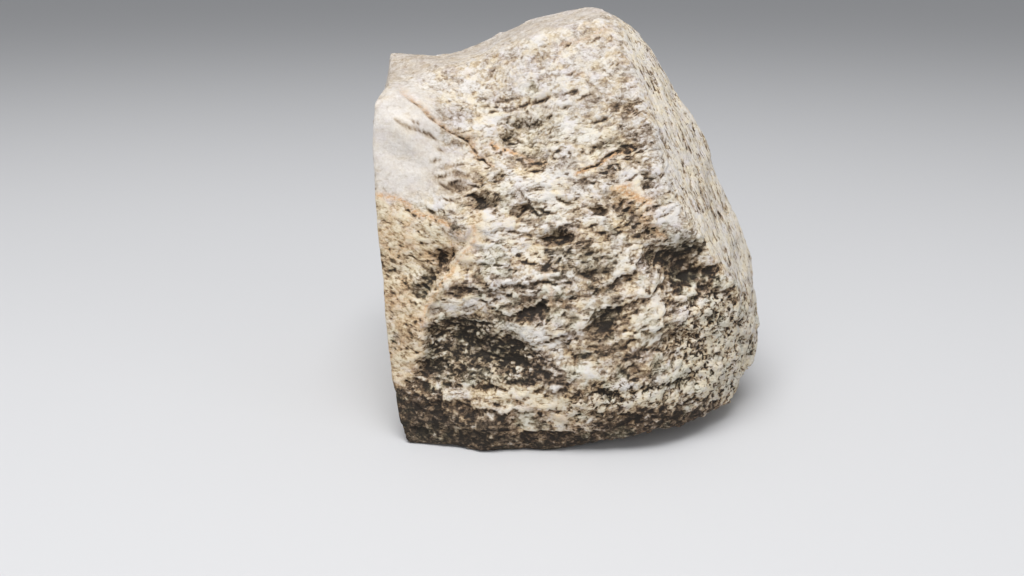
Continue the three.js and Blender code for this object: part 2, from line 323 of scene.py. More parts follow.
def oval(u, v, a, b, ang=0.0, soft=0.35):
    """1 inside an oval drawn on the photograph, 0 outside. ang is in degrees, positive rises to the right."""
    q = pw - np.array([u, v])
    c, s = math.cos(math.radians(ang)), math.sin(math.radians(ang))
    x = q[:, 0] * c - q[:, 1] * s
    y = q[:, 0] * s + q[:, 1] * c
    return (1 - smooth(1 - soft, 1 + soft, np.hypot(x / a, y / b))) * front


def line_field(chain, pts=None):
    """Distance in pixels to a line drawn on the photograph, positive to the right of its direction of travel on the picture, and 0..1 along it."""
    q = pw if pts is None else pts
    chain = np.asarray(chain, float)
    best = np.full(len(q), 1e9)
    sign = np.zeros(len(q))
    along = np.zeros(len(q))
    seg = np.linalg.norm(np.diff(chain, axis=0), axis=1)
    start = np.concatenate([[0], np.cumsum(seg)])
    for i in range(len(chain) - 1):
        s, e = chain[i], chain[i + 1]
        ab = e - s
        t = np.clip(((q - s) @ ab) / (ab @ ab), 0, 1)
        off = q - (s + t[:, None] * ab)
        dist = np.linalg.norm(off, axis=1)
        near = dist < best
        best = np.where(near, dist, best)
        cr = ab[0] * off[:, 1] - ab[1] * off[:, 0]
        sign = np.where(near, np.sign(cr), sign)
        along = np.where(near, (start[i] + t * seg[i]) / start[-1], along)
    return best * sign, along


# ---- zones -----------------------------------------------------------------------------------
ridge, _ = line_field([(606, -30), (617, 17), (628, 64), (641, 97), (652, 129), (666, 175), (684, 215), (708, 250), (740, 290), (790, 340)])
z_right = smooth(3, -9, ridge) * smooth(322, 290, pw[:, 1])
crest, _ = line_field([(370, 96), (396, 86), (432, 71), (461, 64), (485, 55), (530, 38), (575, 24), (610, 14)])
z_top = smooth(6, -8, crest) * smooth(640, 600, pw[:, 0])
z_upleft = np.maximum(oval(405, 140, 40, 62, 0, 0.25), oval(436, 172, 36, 26, -20, 0.35) * 0.8)
tan_line, _ = line_field([(340, 193), (375, 195), (398, 199), (414, 211), (432, 218), (452, 226), (476, 222)])
ridge_left, _ = line_field([(480, 214), (474, 236), (440, 284), (427, 305), (421, 328), (421, 347), (411, 371), (392, 386)])
z_tan = smooth(-3, 6, tan_line) * smooth(-3, 5, ridge_left) * smooth(392, 380, pw[:, 1]) * smooth(482, 470, pw[:, 0])
z_grain = np.maximum.reduce([oval(720, 352, 46, 60, 0, 0.4), oval(640, 405, 80, 26, 8, 0.5) * 0.8, oval(470, 394, 76, 22, -4, 0.5) * 0.22])
base_line, _ = line_field([(380, 374), (396, 381), (420, 396), (450, 410), (500, 421), (560, 432), (600, 414), (650, 404), (700, 404), (745, 402)])
z_base = smooth(-8, 10, base_line + 8 * noise(base / 1.8, 96)) * (1 - 0.55 * smooth(0.12, 0.5, noise(base / 1.1, 97)) * smooth(34, 8, base_line))
z_pit = np.maximum(oval(462, 342, 40, 30, 5, 0.5), oval(508, 354, 42, 26, -10, 0.5))

left_face = smooth(0.55, 0.85, -nrm[:, 0]) * hidden
back_mix = smooth(-0.35, 0.35, fbm(base / 9.0, 2, 71))
zone_pale = np.clip(np.maximum(z_upleft, z_top * 0.9) * front + hidden * (0.35 * back_mix + 0.30 * left_face), 0, 1)
zone_tan = np.clip(z_tan * front + hidden * left_face * smooth(34, 20, base[:, 2] + 4 * noise(base / 6, 72)) * 0.8, 0, 1)
zone_right = np.clip(z_right * front + hidden * smooth(0.25, 0.7, nrm[:, 0]) * smooth(8, 16, base[:, 2]), 0, 1)
zone_grain = np.clip(z_grain * front + hidden * smooth(16, 6, base[:, 2] + 4 * noise(base / 7, 73)) * 0.8, 0, 1)
zone_base = np.clip(z_base * front + hidden * smooth(4.5, 1.5, base[:, 2]), 0, 1)
zone_rough = np.clip(1 - np.maximum.reduce([zone_pale * 0.9, zone_tan * 0.55, zone_right * 0.6]), 0, 1)

# ------------------------------------------------------------------------------------------------
# Larger relief, in mm along the outward normal, and the stains and painted shade that go with it
# ------------------------------------------------------------------------------------------------
h = np.zeros(VN)
# painted shade: the front's tone falls towards the bottom, where less light reaches it
tone = np.interp(pw[:, 1], [60, 150, 200, 300, 400], [0.79, 0.79, 0.77, 0.67, 0.61]) * front + hidden * (0.66 + 0.22 * fbm(base / 6.0, 3, 74))
warm = np.clip(0.38 + 0.34 * fbm(base / 6.0, 2, 75), 0, 1)
olive = np.zeros(VN)
rust = np.zeros(VN)
stain_and_shade = np.zeros(VN)
fleck = np.full(VN, 0.34) * front + hidden * (0.50 + 0.25 * fbm(base / 8.0, 2, 76))
contrast = np.interp(pw[:, 1], [40, 100, 170, 300], [0.5, 0.8, 1.0, 1.1]) * front + hidden * 0.9


def set_to(field, mask, value):
    field[:] = field + (value - field) * np.clip(mask, 0, 1)


# pale zone: partly the crust's own pale colour, partly a painted highlight of the sheen on the upper faces
set_to(tone, zone_pale, 0.89 * front + 0.80 * hidden)
set_to(warm, zone_pale, 0.06)
set_to(fleck, zone_pale, 0.13)
set_to(contrast, zone_pale, 0.35)
set_to(tone, z_top * front * 0.9, 0.71)
# painted highlight: the upper front is drawn less warm, as glare whitens it
set_to(warm, 0.6 * smooth(190, 100, pw[:, 1]) * front, 0.10)
set_to(tone, zone_right * (front + 0.6 * hidden), 1.02)
set_to(warm, zone_right, 0.50)
set_to(fleck, zone_right, 0.12)
set_to(contrast, zone_right, 0.6)
set_to(tone, zone_tan, 0.775)
set_to(warm, zone_tan, 1.0)
set_to(fleck, zone_tan, 0.64)
set_to(tone, zone_grain, 0.96)
set_to(warm, zone_grain, 0.85)
set_to(fleck, zone_grain, 0.3)

# broad drifts seen in the photograph, partly the stone's own tone and partly painted shade, darkest along the base:
# centre, half axes, tilt, tone, fleck, weight
DRIFTS = [
    (545, 70, 70, 26, 14, 0.82, 0.26, 0.8), (510, 104, 60, 10, 6, 0.85, 0.55, 0.8), (525, 135, 34, 22, 0, 0.70, 0.60, 0.9), (565, 135, 26, 22, 10, 0.74, 0.45, 0.8),
    (560, 172, 34, 9, 8, 0.90, 0.22, 0.8), (470, 112, 26, 16, -10, 0.80, 0.35, 0.7), (618, 110, 22, 14, -20, 0.74, 0.60, 0.8), (628, 160, 22, 20, -40, 0.70, 0.66, 0.9),
    (600, 178, 22, 9, 0, 0.74, 0.62, 0.8), (462, 184, 26, 16, -10, 0.74, 0.58, 0.9), (500, 160, 14, 12, 0, 0.86, 0.25, 0.7), (545, 192, 26, 10, 0, 0.90, 0.30, 0.8),
    (500, 226, 34, 14, 0, 0.84, 0.36, 0.8), (640, 205, 22, 16, -30, 0.72, 0.55, 0.8), (676, 205, 14, 24, -65, 0.86, 0.20, 0.7), (600, 228, 28, 12, 0, 0.72, 0.48, 0.8),
    (600, 250, 40, 14, 0, 0.66, 0.50, 0.8), (520, 262, 40, 14, -6, 0.76, 0.42, 0.7), (560, 285, 40, 16, 0, 0.66, 0.52, 0.8), (640, 285, 30, 18, -20, 0.70, 0.46, 0.8),
    (490, 290, 30, 12, 0, 0.70, 0.50, 0.7), (560, 330, 30, 22, 0, 0.66, 0.50, 0.7), (650, 335, 30, 24, 20, 0.68, 0.50, 0.7), (545, 372, 44, 18, -8, 0.56, 0.55, 0.8),
    (505, 376, 42, 9, 0, 0.34, 0.5, 0.8), (455, 406, 40, 9, 0, 0.30, 0.5, 0.8), (505, 287, 30, 7, 0, 0.84, 0.3, 0.8), (672, 366, 28, 18, 0, 0.80, 0.4, 0.7), (664, 308, 16, 9, 0, 0.80, 0.4, 0.7), (625, 394, 22, 7, 0, 0.78, 0.4, 0.7), (560, 300, 14, 9, 0, 0.72, 0.4, 0.6),
    (640, 222, 34, 16, 0, 0.58, 0.60, 0.7), (590, 300, 34, 18, 0, 0.56, 0.55, 0.7), (704, 316, 30, 24, 0, 0.56, 0.5, 0.4), (452, 374, 34, 12, -4, 0.34, 0.5, 0.8),
    (452, 122, 20, 9, -30, 0.76, 0.2, 0.4), (640, 262, 18, 14, 0, 0.70, 0.4, 0.6), (500, 330, 50, 40, 0, 0.42, 0.5, 0.6), (466, 345, 42, 34, 0, 0.40, 0.4, 0.7), (425, 392, 30, 9, 0, 0.32, 0.4, 0.8), (585, 205, 14, 10, 0, 0.70, 0.5, 0.7), (522, 266, 14, 9, 0, 0.66, 0.5, 0.7), (620, 340, 24, 6, 0, 0.54, 0.5, 0.7), (700, 345, 46, 40, 0, 0.92, 0.35, 0.5), (600, 341, 32, 14, 34, 0.46, 0.5, 0.8), (516, 379, 36, 8, 0, 0.30, 0.5, 0.85), (438, 222, 16, 10, 0, 0.92, 0.3, 0.7),
    (640, 372, 40, 16, -10, 0.58, 0.50, 0.7), (590, 397, 40, 9, 6, 0.38, 0.5, 0.8), (700, 318, 30, 14, -10, 0.62, 0.5, 0.6), (668, 308, 18, 10, 0, 0.95, 0.35, 0.8), (622, 388, 20, 6, 0, 0.92, 0.35, 0.7), (672, 342, 24, 9, 10, 0.46, 0.5, 0.7), (682, 258, 26, 16, -20, 0.48, 0.4, 0.5),
]
for u, v, a, b, ang, t, fl, wgt in DRIFTS:
    m = wgt * oval(u, v, a, b, ang, 0.7)
    set_to(tone, m, t)
    set_to(fleck, m, fl)

# hollows: centre, half axes in pixels, tilt, depth in mm, dark (stain and painted shade)
HOLLOWS = [
    (683, 267, 37, 17, -27, 1.0, 1.1), (690, 248, 20, 10, -25, 0.6, 0.55), (650, 260, 12, 15, 10, 0.5, 0.5), (716, 291, 18, 8, -30, 0.6, 0.8), (620, 206, 26, 8, -38, 0.5, 0.5), (642, 224, 20, 8, -30, 0.5, 0.6),
    (445, 254, 14, 7, 22, 0.8, 0.75), (432, 275, 24, 9, 56, 0.8, 0.8), (418, 292, 12, 8, 40, 0.5, 0.6),
    (555, 236, 22, 11, -8, 1.3, 0.95), (483, 200, 15, 8, -12, 0.9, 0.95), (520, 211, 13, 6, 5, 0.8, 1.0),
    (599, 209, 16, 6, -3, 0.8, 0.95), (510, 138, 9, 7, 8, 0.6, 0.6), (528, 134, 30, 20, 5, 0.6, 0.16),
    (542, 160, 12, 5, 10, 0.3, 0.35), (458, 336, 34, 24, 8, 0.9, 0.75), (507, 352, 40, 22, -10, 0.9, 0.75),
    (530, 306, 17, 12, 0, 0.6, 0.8), (604, 320, 27, 12, 48, 0.8, 0.75), (589, 274, 12, 4, 5, 0.4, 0.9),
    (604, 144, 22, 5, 26, 0.45, 0.8), (625, 149, 9, 4, 22, 0.3, 0.65), (592, 181, 17, 4, -14, 0.12, 0.25),
    (632, 161, 10, 6, 0, 0.4, 0.45), (644, 174, 7, 4, -10, 0.4, 0.9), (646, 184, 8, 4, 0, 0.4, 0.7),
    (626, 110, 13, 7, -20, 0.35, 0.6), (600, 120, 14, 3, 8, 0.3, 0.6), (462, 189, 14, 4, -5, 0.35, 0.5),
    (461, 173, 9, 3, -12, 0.3, 0.8), (446, 167, 9, 3, 15, 0.15, 0.3), (501, 176, 6, 9, -30, 0.5, 0.8),
    (686, 335, 25, 7, 8, 0.6, 0.8), (636, 371, 18, 6, -18, 0.5, 0.8), (606, 396, 40, 4, 6, 0.45, 0.6),
    (650, 232, 20, 5, 4, 0.5, 0.7), (566, 200, 12, 4, -12, 0.4, 0.6), (477, 250, 10, 5, -25, 0.35, 0.6),
    (458, 288, 16, 7, 12, 0.4, 0.7), (540, 100, 24, 5, 14, 0.3, 0.5), (529, 88, 10, 4, 0, 0.25, 0.45),
    (489, 154, 6, 3, -10, 0.3, 0.7), (745, 340, 7, 12, 0, 0.4, 0.4), (672, 336, 22, 8, 28, 0.5, 0.7), (505, 300, 12, 6, 0, 0.3, 0.3), (600, 275, 14, 5, 5, 0.4, 0.6), (410, 127, 10, 4, -25, 0.05, 0.25), (428, 135, 10, 4, -25, 0.05, 0.25), (440, 150, 5, 2, -15, 0.08, 0.5), (600, 341, 30, 9, 34, 0.5, 0.8), (672, 341, 22, 7, 10, 0.4, 0.8),
    (570, 316, 12, 7, 0, 0.35, 0.5), (430, 368, 18, 9, 15, 0.5, 0.75), (505, 404, 18, 5, 0, 0.4, 0.8),
    (455, 408, 30, 5, -4, 0.35, 0.6), (562, 300, 20, 9, 0, 0.4, 0.4), (620, 285, 20, 7, 0, 0.35, 0.4),
]
for u, v, a, b, ang, deep, dark in HOLLOWS:
    q = (pn if max(a, b) < 13 else pw) - np.array([u, v])
    near = (np.abs(q[:, 0]) < 2.2 * max(a, b)) & (np.abs(q[:, 1]) < 2.2 * max(a, b)) & (front > 0)
    c, s = math.cos(math.radians(ang)), math.sin(math.radians(ang))
    x = (q[near, 0] * c - q[near, 1] * s) / a
    y = (q[near, 0] * s + q[near, 1] * c) / b
    y = np.where(y < 0, y * 1.15, y * 0.75)             # steep upper wall, easy lower slope
    r = np.hypot(x, y)
    h[near] -= deep * np.clip(1 - r * r, 0, 1) ** 1.1 * front[near]
    # darkening in the hollow: partly stain, partly painted shade
    stain_and_shade[near] = np.maximum(stain_and_shade[near], dark * (1 - smooth(0.30, 1.35, r)) * front[near])

# veins and grooves: line, width in pixels, depth in mm, rust
VEINS = [
    ([(403, 90), (415, 100), (424, 108), (432, 117), (452, 131), (470, 139), (479, 154), (492, 165)], 2.6, 0.34, 0.40),
    ([(374, 195), (398, 197), (416, 212), (432, 217), (450, 225)], 3.0, 0.05, 0.75),
    ([(476, 214), (474, 226), (476, 240), (458, 262), (441, 284), (429, 302), (421, 325), (421, 346), (411, 371), (398, 384)], 6.0, -0.15, 0.25),
    ([(576, 174), (598, 163), (616, 154), (633, 147)], 1.6, 0.1, 0.9),
    ([(492, 143), (500, 149), (515, 153)], 3.0, 0.0, 0.8), ([(515, 153), (530, 162), (545, 164)], 2.2, 0.0, 0.4),
    ([(396, 86), (432, 71), (461, 64), (485, 55), (530, 38)], 1.6, 0.14, 0.0),
    ([(545, 275), (552, 290), (549, 306)], 1.8, -0.12, 0.4),
    ([(516, 400), (540, 412), (580, 424)], 5.0, -0.1, 0.3),
    ([(615, 190), (628, 186)], 4.0, 0.0, 0.9), ([(620, 190), (650, 202)], 5.0, 0.0, 0.7), ([(642, 216), (664, 238)], 4.0, 0.0, 0.5), ([(474, 226), (476, 240), (458, 262), (441, 284), (429, 302), (421, 325)], 2.4, 0.0, 0.6), ([(560, 45), (580, 40), (604, 30)], 2.0, 0.05, 0.35), ([(620, 200), (650, 215)], 6.0, 0.0, 0.3),
    ([(582, 76), (572, 72)], 2.0, 0.0, 0.4), ([(468, 137), (474, 145)], 3.0, 0.05, 0.8), ([(472, 150), (480, 156)], 2.5, 0.05, 0.6), ([(380, 240), (400, 262)], 4.0, 0.0, 0.4), ([(385, 300), (400, 310)], 5.0, 0.0, 0.4),
]
for chain, width, deep, amount in VEINS:
    f, along = line_field(chain, pn)
    m = np.exp(-(f / width) ** 2) * front
    h -= deep * m
    rust = np.maximum(rust, min(1.0, 1.25 * amount) * m)

rust = np.maximum(rust, 0.42 * z_tan * front * smooth(-0.25, 0.5, noise(base / 2.2, 100)))

# pale worn patches, cream patches and olive stains: centre, half axes, tilt, weight
for u, v, a, b, ang, w in [(450, 307, 22, 10, 6, 0.85), (526, 334, 22, 9, -18, 1.0), (588, 374, 15, 9, 5, 0.9), (628, 385, 11, 5, 5, 0.8),
                           (520, 201, 9, 4, -10, 0.8), (495, 226, 18, 10, 0, 0.5), (676, 222, 16, 8, -30, 0.5), (556, 178, 26, 8, 10, 0.6),
                           (600, 220, 14, 5, 0, 0.8), (645, 268, 10, 8, 0, 0.4), (450, 394, 26, 5, -4, 0.45), (622, 246, 16, 8, 0, 0.4)]:
    m = w * oval(u, v, a, b, ang, 0.45)
    set_to(tone, m, 0.95)
    set_to(fleck, m, 0.12)
    set_to(warm, m, 0.08)
    set_to(contrast, m, 0.55)
    stain_and_shade *= 1 - 0.8 * m
    h += 0.15 * m
for u, v, a, b, ang, w in [(540, 410, 46, 18, -14, 0.9), (590, 409, 28, 8, 6, 0.8), (640, 398, 8, 7, 0, 0.7), (712, 385, 26, 18, 0, 0.5), (470, 389, 36, 5, -5, 0.15),
                           (632, 192, 14, 10, 0, 0.6), (470, 305, 14, 10, 0, 0.3)]:
    m = w * oval(u, v, a, b, ang, 0.5)
    set_to(tone, m, 0.90)
    set_to(fleck, m, 0.42)
    set_to(warm, m, 0.8)
for u, v, a, b, ang, w in [(684, 246, 20, 14, 0, 0.8), (422, 286, 11, 14, 0, 0.8), (393, 340, 5, 10, 0, 0.9), (462, 229, 11, 10, 0, 0.5), (527, 138, 30, 22, 0, 0.4),
                           (560, 255, 16, 9, 0, 0.6), (605, 314, 16, 12, 0, 0.6), (480, 345, 52, 28, 0, 0.5), (505, 200, 9, 14, 0, 0.7), (610, 146, 18, 6, 24, 0.6),
                           (570, 130, 26, 16, 0, 0.4), (595, 262, 30, 14, 0, 0.5), (530, 88, 12, 6, 0, 0.6), (440, 435, 60, 14, 0, 0.3)]:
    olive = np.maximum(olive, w * oval(u, v, a, b, ang, 0.6))
f, along = line_field([(476, 214), (474, 226), (476, 240), (458, 262), (441, 284), (429, 302), (421, 325), (421, 346), (411, 371), (398, 384)])
m = np.exp(-(f / 6.0) ** 2) * front * 0.95     # cream ridge beside the tan facet
h -= 0.6 * smooth(-2, -9, f) * smooth(-60, -22, f) * smooth(292, 318, pw[:, 1]) * smooth(398, 380, pw[:, 1]) * front
set_to(tone, m, 0.92)
set_to(warm, m, 0.85)
set_to(fleck, m, 0.25)
stain_and_shade *= 1 - 0.7 * m
m = oval(462, 229, 10, 9, 0, 0.3)           # smooth grey lump
h += 0.35 * m
set_to(tone, m, 0.70)
set_to(warm, m, 0.0)

# hollows on the sides that the photograph doesn't show
count = 0
drifted = base + 0.5 * np.stack([noise(base / 1.6, 81), noise(base / 1.6, 82), noise(base / 1.6, 83)], 1)
while count < 60:
    i = int(rng.integers(VN))
    if facing[i] > -0.05 or base[i, 2] < 3.0:
        continue
    r0 = rng.uniform(1.0, 4.5)
    flat = np.array([1.0, 1.0, rng.uniform(1.0, 2.2)])
    dd = np.linalg.norm((drifted - base[i]) * flat, axis=1) / r0
    h -= rng.uniform(0.12, 0.26) * r0 * np.clip(1 - dd * dd, 0, 1) ** 1.1 * (1 - smooth(-0.02, 0.15, facing))
    # darkening in the hollow: partly stain, partly painted shade
    stain_and_shade = np.maximum(stain_and_shade, rng.uniform(0.3, 0.9) * (1 - smooth(0.4, 1.25, dd)) * hidden)
    count += 1

# the rest spot stays flat, and the relief dies out towards it
calm = (0.2 + 0.8 * smooth(0.0, 1.6, base[:, 2])) * (1 - 0.6 * crisp)
body = base + nrm * (h * calm)[:, None]
nrm = unit(blur(normals_of(body), 3))

# ------------------------------------------------------------------------------------------------
# Finer relief: broken plates, flecks and grains
# ------------------------------------------------------------------------------------------------
k = np.zeros(VN)
warp = body + 0.40 * np.stack([noise(body / 1.5, 31), noise(body / 1.5, 32), noise(body / 1.5, 33)], 1) \
    + 0.20 * np.stack([noise(body / 0.65, 34), noise(body / 0.65, 35), noise(body / 0.65, 36)], 1)


bend = body + 0.42 * np.stack([noise(body / 2.0, 31), noise(body / 2.0, 32), noise(body / 2.0, 33)], 1)


def turned(ang, sx, sy, sz, pts):
    """Coordinates in cells, with the long axis of the cells turned in the plane of the front."""
    c, s = math.cos(math.radians(ang)), math.sin(math.radians(ang))
    x = pts[:, 0] * c + pts[:, 2] * s
    z = -pts[:, 0] * s + pts[:, 2] * c
    return np.stack([x / sx, pts[:, 1] / sy, z / sz], 1)


side_l = smooth(490, 430, px[:, 0])
side_r = smooth(550, 630, px[:, 0])
mid_w = np.clip(1 - side_l - side_r, 0, 1)
leans = ((4, mid_w), (-25, side_l), (21, side_r))


def lean_noise(lx, ly, lz, seed, drop=0.0):
    """Noise of elongated flecks: falling to the right on the left, level in the middle, rising to the right on the right."""
    q = warp + np.array([0, 0, -drop])
    return sum(wgt * noise(turned(ang, lx, ly, lz, q), seed + n) for n, (ang, wgt) in enumerate(leans))


def plates(sx, sz, seed):
    """Broken plates whose lower ends stand proud, and a random shade for each."""
    lift, shade = np.zeros(VN), np.zeros(VN)
    for n, (ang, wgt) in enumerate(leans):
        f1, f2, off, rnd = cells(turned(ang, sx, 0.8 * sx, sz, bend), seed + n)
        lift += wgt * (-off[:, 2] + 0.7 * (rnd[:, 0] - 0.5) + 0.7 * off[:, 0] * (rnd[:, 1] - 0.5)) * (0.35 + 0.9 * rnd[:, 2])
        shade += wgt * (rnd[:, 1] - 0.5)
    return lift, shade


def chips(size, seed):
    """Angular chips, each with a random height, shade and hue."""
    return cells(turned(8, size * 1.25, size, size * 0.85, bend), seed)[3] - 0.5


c1, c2 = chips(1.9, 111), chips(0.95, 112)
p0, s0 = plates(5.4, 3.0, 38)
p1, s1 = plates(2.6, 1.25, 41)
p2, s2 = plates(1.25, 0.78, 44)
p3, s3 = plates(0.66, 0.50, 47)
ease = np.interp(pw[:, 1], [60, 190, 260], [0.40, 0.7, 1.0]) * front + hidden * 0.9
k += ease * zone_rough * (0.11 * c1[:, 0] + 0.05 * c2[:, 0])
k += 0.40 * (np.interp(pw[:, 1], [170, 270], [0.12, 1.0]) * front + hidden * 0.9) * p0 * zone_rough
k += 0.15 * ease * p1 * zone_rough
k += 0.09 * (0.3 + 0.7 * ease) * p2 * np.clip(zone_rough + 0.08 + 0.30 * zone_tan, 0, 1)
k += 0.06 * p3 * np.clip(zone_rough + 0.15 + 0.55 * zone_tan, 0, 1)
k += 0.16 * lean_noise(3.4, 3.0, 1.9, 51) * (0.4 + 0.6 * zone_rough) + 0.05 * zone_pale * lean_noise(1.6, 1.4, 0.6, 99)

# flecks: small pits with a lip above each
n0 = lean_noise(1.2, 0.9, 0.46, 54) + 0.55 * lean_noise(0.70, 0.55, 0.33, 57)
n1 = lean_noise(1.2, 0.9, 0.46, 54, 0.30) + 0.55 * lean_noise(0.70, 0.55, 0.33, 57, 0.30)
limit = 0.80 - 0.95 * fleck
pit = smooth(limit - 0.10, limit + 0.35, n0)
pit_below = smooth(limit - 0.10, limit + 0.35, n1)
k += (0.35 + 0.65 * zone_rough) * (0.05 * pit_below * (1 - pit) - 0.10 * pit)

# long wavy lines on the right face
e1 = unit(np.array([14.3, -11.6, -31.0]))
e3 = unit(np.array([0.78, -0.48, 0.40]) - e1 * (np.array([0.78, -0.48, 0.40]) @ e1))
e2 = np.cross(e3, e1)
bent = warp + 0.9 * np.stack([noise(body / 5.0, 58), noise(body / 5.0, 59), noise(body / 5.0, 60)], 1)
rp = np.stack([bent @ e1 / 7.5, bent @ e2 / 1.5, bent @ e3 / 2.2], 1)
line = smooth(0.80, 0.99, 1 - np.abs(noise(rp, 61) + 0.35 * noise(rp * 2.3, 62))) * smooth(-0.5, 0.3, noise(body / 3.0, 64))
swell = noise(rp * np.array([1.0, 0.8, 1.0]), 63)
rq = np.stack([bent @ e1 / 4.2, bent @ e2 / 0.62, bent @ e3 / 0.9], 1)
thread = smooth(0.10, 0.75, noise(rq, 77) + 0.5 * noise(rq * 1.9, 78))
k += zone_right * (0.18 * swell - 0.12 * line - 0.10 * thread)

# grains
f1, f2, off, rnd = cells((warp + 0.22 * np.stack([noise(body / 0.9, 67), noise(body / 0.9, 68), noise(body / 0.9, 69)], 1)) / np.array([0.98, 0.85, 0.68]), 65)
grain = np.clip(1 - (f1 / 0.68) ** 2, 0, 1)
k += zone_grain * 0.40 * (grain * (0.3 + 0.7 * rnd[:, 0]) - 0.35)
f1b, f2b, offb, rndb = cells(warp / np.array([0.75, 0.7, 0.55]), 66)
grain_b = np.clip(1 - (f1b / 0.55) ** 2, 0, 1) * (rndb[:, 0] > 0.70)
k += np.clip(z_pit * front + zone_base * 0.6, 0, 1) * 0.20 * grain_b

# small dark dashes: a lip with a slit below, its shade painted into the tone
DASHES = [
    (436, 177, 450, 173), (448, 184, 464, 179), (440, 197, 456, 201), (462, 196, 476, 193), (430, 161, 441, 158), (452, 165, 466, 161), (468, 183, 482, 186),
    (395, 118, 406, 124), (406, 125, 417, 130), (417, 129, 430, 136), (428, 133, 439, 141), (412, 119, 420, 123),
    (408, 94, 424, 108), (424, 108, 440, 122), (440, 122, 456, 133), (456, 133, 472, 141), (472, 141, 481, 155), (481, 155, 493, 166),
    (505, 112, 520, 108), (518, 107, 532, 101), (532, 103, 552, 96), (480, 105, 496, 106), (578, 172, 600, 160), (485, 112, 500, 110),
    (598, 160, 622, 147), (536, 208, 556, 214), (526, 190, 546, 185), (519, 191, 532, 206), (532, 206, 541, 218), (553, 196, 574, 203),
    (530, 170, 545, 168), (568, 74, 582, 72), (560, 92, 580, 90), (576, 98, 592, 93), (560, 108, 572, 104), (440, 183, 452, 189),
    (590, 40, 602, 36), (562, 44, 574, 46), (611, 60, 616, 66), (496, 100, 510, 98), (545, 118, 560, 114), (592, 122, 608, 118),
    (586, 228, 600, 222), (592, 232, 606, 230), (424, 205, 436, 212), (404, 206, 416, 214),
]
slit_shade = np.zeros(VN)
for u0, v0, u1, v1 in DASHES:
    f, along = line_field([(u0, v0), (u1, v1)], pn)
    taper = np.sin(np.clip(along, 0.02, 0.98) * math.pi) ** 0.5
    near = (np.abs(f) < 14)
    k += 0.12 * np.exp(-(np.minimum(f, 0) / 5.0) ** 2) * (f < 0) * near * taper * front
    k -= 0.20 * np.exp(-(np.maximum(f, 0) / 2.2) ** 2) * (f >= 0) * near * taper * front
    slit_shade = np.maximum(slit_shade, 0.8 * np.exp(-((f - 1.0) / 1.5) ** 2) * taper * front)

k *= calm
fine = k - blur(k, 9)
broad = k - blur(k, 50)

# ------------------------------------------------------------------------------------------------
# Tone of the surface
# ------------------------------------------------------------------------------------------------
mottle = 0.18 * noise(warp / 3.2, 91) + 0.16 * s0 + 0.16 * noise(warp / 1.2, 92) + 0.10 * s1 + 0.17 * c1[:, 0] + 0.12 * c2[:, 0]
warm = warm + (0.25 + 0.75 * zone_rough) * (0.6 * c1[:, 1] + 0.3 * c2[:, 1])
olive = np.maximum(olive, smooth(0.12, 0.45, c1[:, 2] + 0.5 * c2[:, 2]) * zone_rough * (np.interp(pw[:, 1], [170, 270], [0.15, 0.8]) * front + 0.6 * hidden))
tone = tone + mottle * contrast * (0.35 + 0.65 * zone_rough)
# stain and painted shade in the hollows darken the tone
tone = tone - stain_and_shade * (0.46 + 0.35 * noise(warp / 0.8, 93))
# painted shade: the fleck pits and the slits under the lips are darkened in the tone
tone = tone - 0.36 * contrast * pit * (1 - 0.7 * zone_grain) - 0.5 * slit_shade
tone = tone - zone_right * (0.40 * line + 0.32 * thread * smooth(-0.5, 0.4, noise(body / 4.0, 102))) + zone_right * 0.15 * noise(body / 4.5, 101)
# painted shade between the grains and painted light on their tops, with a random shade per grain
tone = tone + zone_grain * (0.55 * (rnd[:, 1] - 0.36) - 0.30 * smooth(0.34, 0.04, grain) + 0.18 * grain - 0.40 * smooth(0.0, 0.55, noise(body / 1.9, 98) + 0.5 * noise(body / 0.9, 99)))
tone = tone + np.clip(z_pit * front, 0, 1) * (0.40 * grain_b)
# dark strip along the base: partly the stone's own dark band, partly painted shade where it meets the floor
set_to(tone, zone_base * 0.92, 0.09)
tone = tone + zone_base * (0.34 * grain_b * (rndb[:, 1] > 0.5) + 0.10 * noise(warp / 1.0, 94))
set_to(warm, zone_base, 0.35)
set_to(warm, 0.8 * np.clip(stain_and_shade, 0, 1), 0.6)
# painted shade and light: the tone falls in low spots of the relief and rises on raised ones
tone = tone + contrast * (0.19 * np.clip(fine / 0.09, -2.4, 1.3) + 0.08 * np.clip(broad / 0.35, -2, 1.2)) * (1 - 0.5 * zone_base)

pos = body + nrm * k[:, None]
pos[:, 2] -= 0.15 * np.clip(fine, 0, 0.4) * zone_rough          # lips hang a little
pos[:, 2] = np.maximum(pos[:, 2], 0.0)

# ------------------------------------------------------------------------------------------------
# Mesh
# ------------------------------------------------------------------------------------------------
mesh = bpy.data.meshes.new("meteorite_skin")
mesh.vertices.add(VN)
mesh.vertices.foreach_set("co", (pos * MM).astype(np.float32).ravel())
mesh.loops.add(len(quads) * 4)
mesh.loops.foreach_set("vertex_index", quads.astype(np.int32).ravel())
mesh.polygons.add(len(quads))
mesh.polygons.foreach_set("loop_start", np.arange(0, len(quads) * 4, 4, dtype=np.int32))
mesh.polygons.foreach_set("use_smooth", np.ones(len(quads), bool))
mesh.update(calc_edges=True)
mesh.validate()
uvs = mesh.uv_layers.new(name="OFBake")
uvs.data.foreach_set("uv", quad_uv.astype(np.float32).ravel())


def attribute(name, values):
    a = mesh.attributes.new(name, "FLOAT", "POINT")
    a.data.foreach_set("value", np.clip(values, -4, 4).astype(np.float32))


